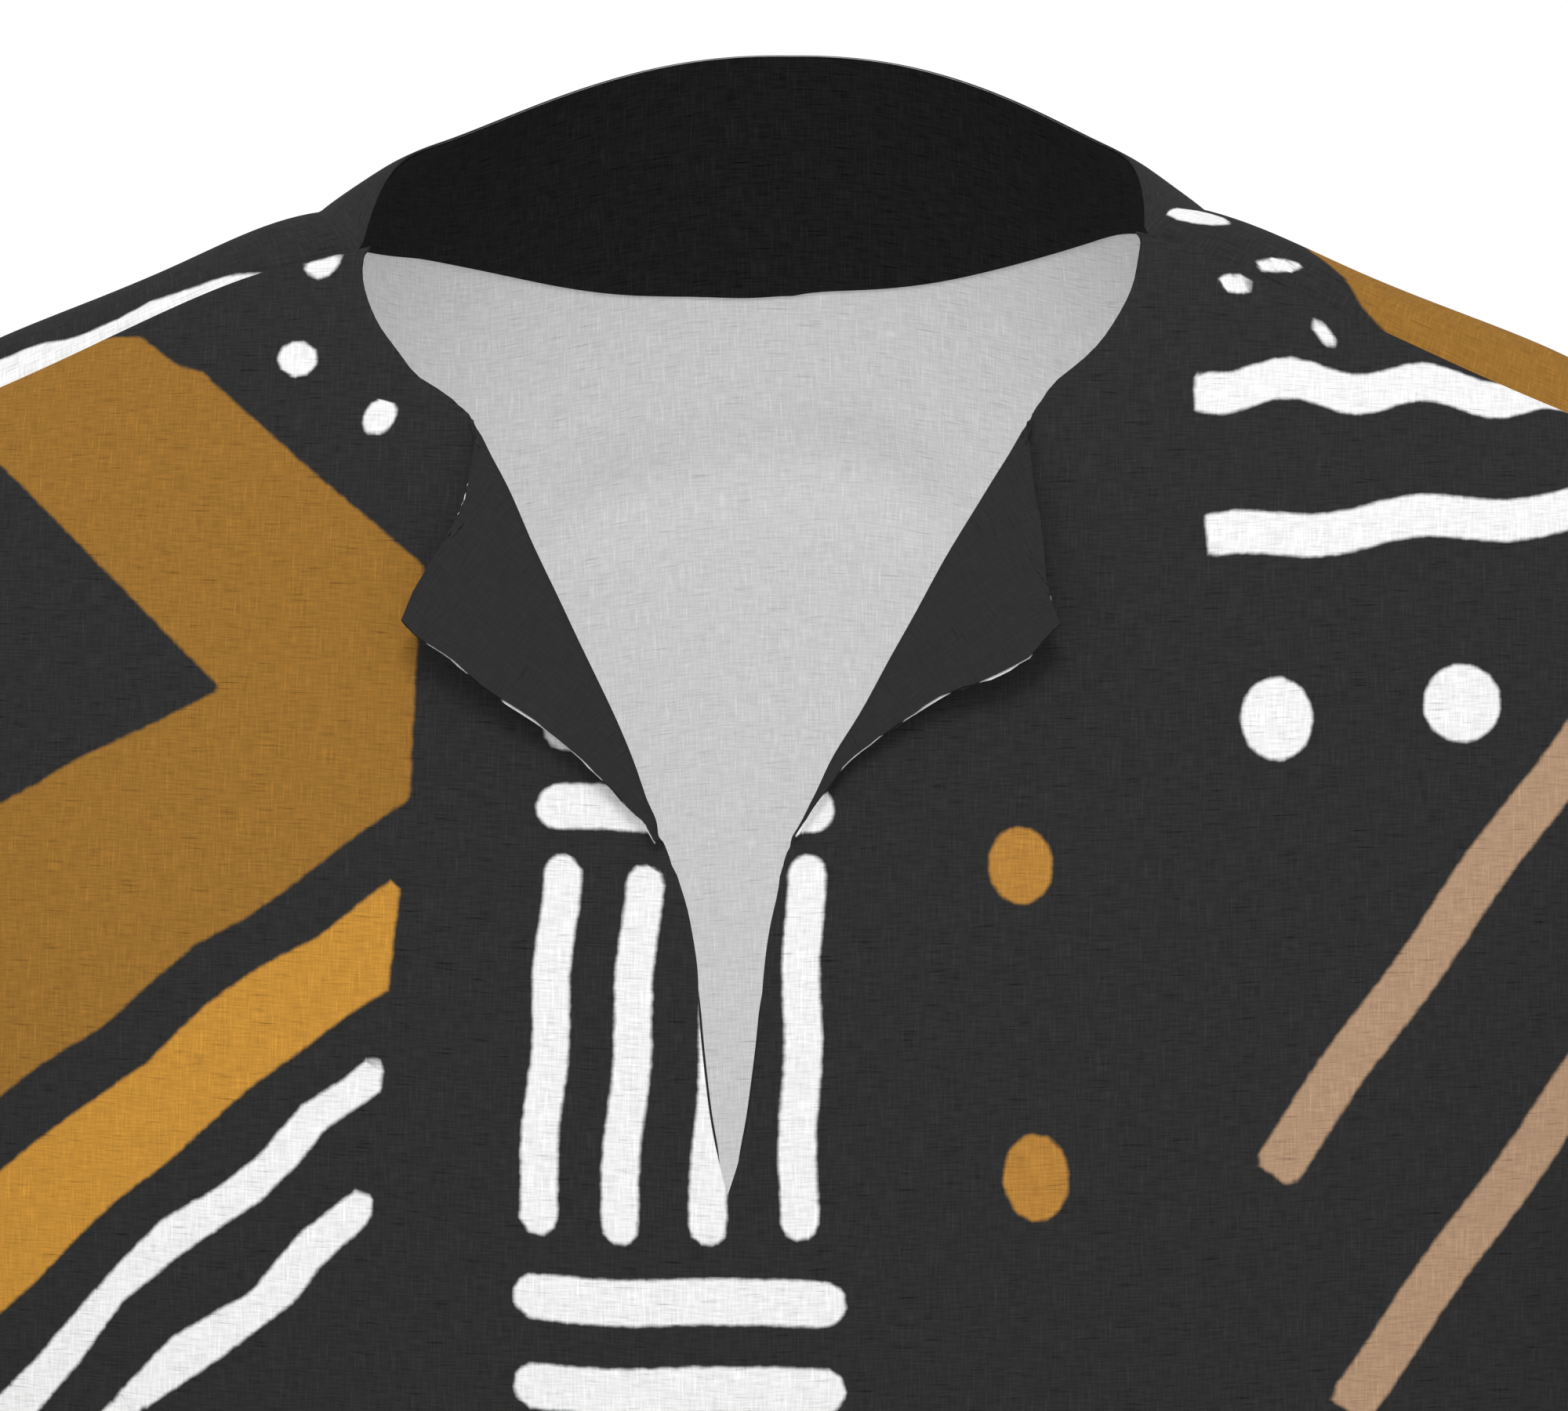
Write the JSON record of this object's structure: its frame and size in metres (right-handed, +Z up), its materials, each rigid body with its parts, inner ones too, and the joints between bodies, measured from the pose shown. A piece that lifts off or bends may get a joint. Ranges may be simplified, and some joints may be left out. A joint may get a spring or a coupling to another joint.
{
  "type": "dashiki shirt",
  "caption": "Collarless pull-on dashiki shirt with a slit neck, its slit corners turned out, wide elbow sleeves and a straight open hem, filled out with no wearer.",
  "frame": {"origin": "middle of the shoulder line at the neck, where the wearer's neck and shoulders hold the shirt up", "axes": "+X to the wearer's left (the right of a front view), -Y out of the shirt's front, +Z up"},
  "size_m": [0.8808, 0.252, 0.7776],
  "materials": {
    "front_cloth": "matt linen-like plain weave, charcoal, printed with ochre, brown, tan and white motifs; unprinted pale grey inside",
    "back_cloth": "matt linen-like plain weave, charcoal, printed with ochre, brown, tan and white motifs; unprinted pale grey inside",
    "sleeve_left_cloth": "matt linen-like plain weave, charcoal, printed with ochre, brown, tan and white motifs; unprinted pale grey inside",
    "sleeve_right_cloth": "matt linen-like plain weave, charcoal, printed with ochre, brown, tan and white motifs; unprinted pale grey inside",
    "slit_facing_left_cloth": "matt linen-like plain weave, charcoal, unprinted",
    "slit_facing_right_cloth": "matt linen-like plain weave, charcoal, unprinted",
    "back_neck_facing_cloth": "matt linen-like plain weave, charcoal, unprinted"
  },
  "bodies": {
    "root": {"front": "front_cloth", "back": "back_cloth", "sleeve_left": "sleeve_left_cloth", "sleeve_right": "sleeve_right_cloth", "slit_facing_left": "slit_facing_left_cloth", "slit_facing_right": "slit_facing_right_cloth", "back_neck_facing": "back_neck_facing_cloth"}
  },
  "joints": []
}
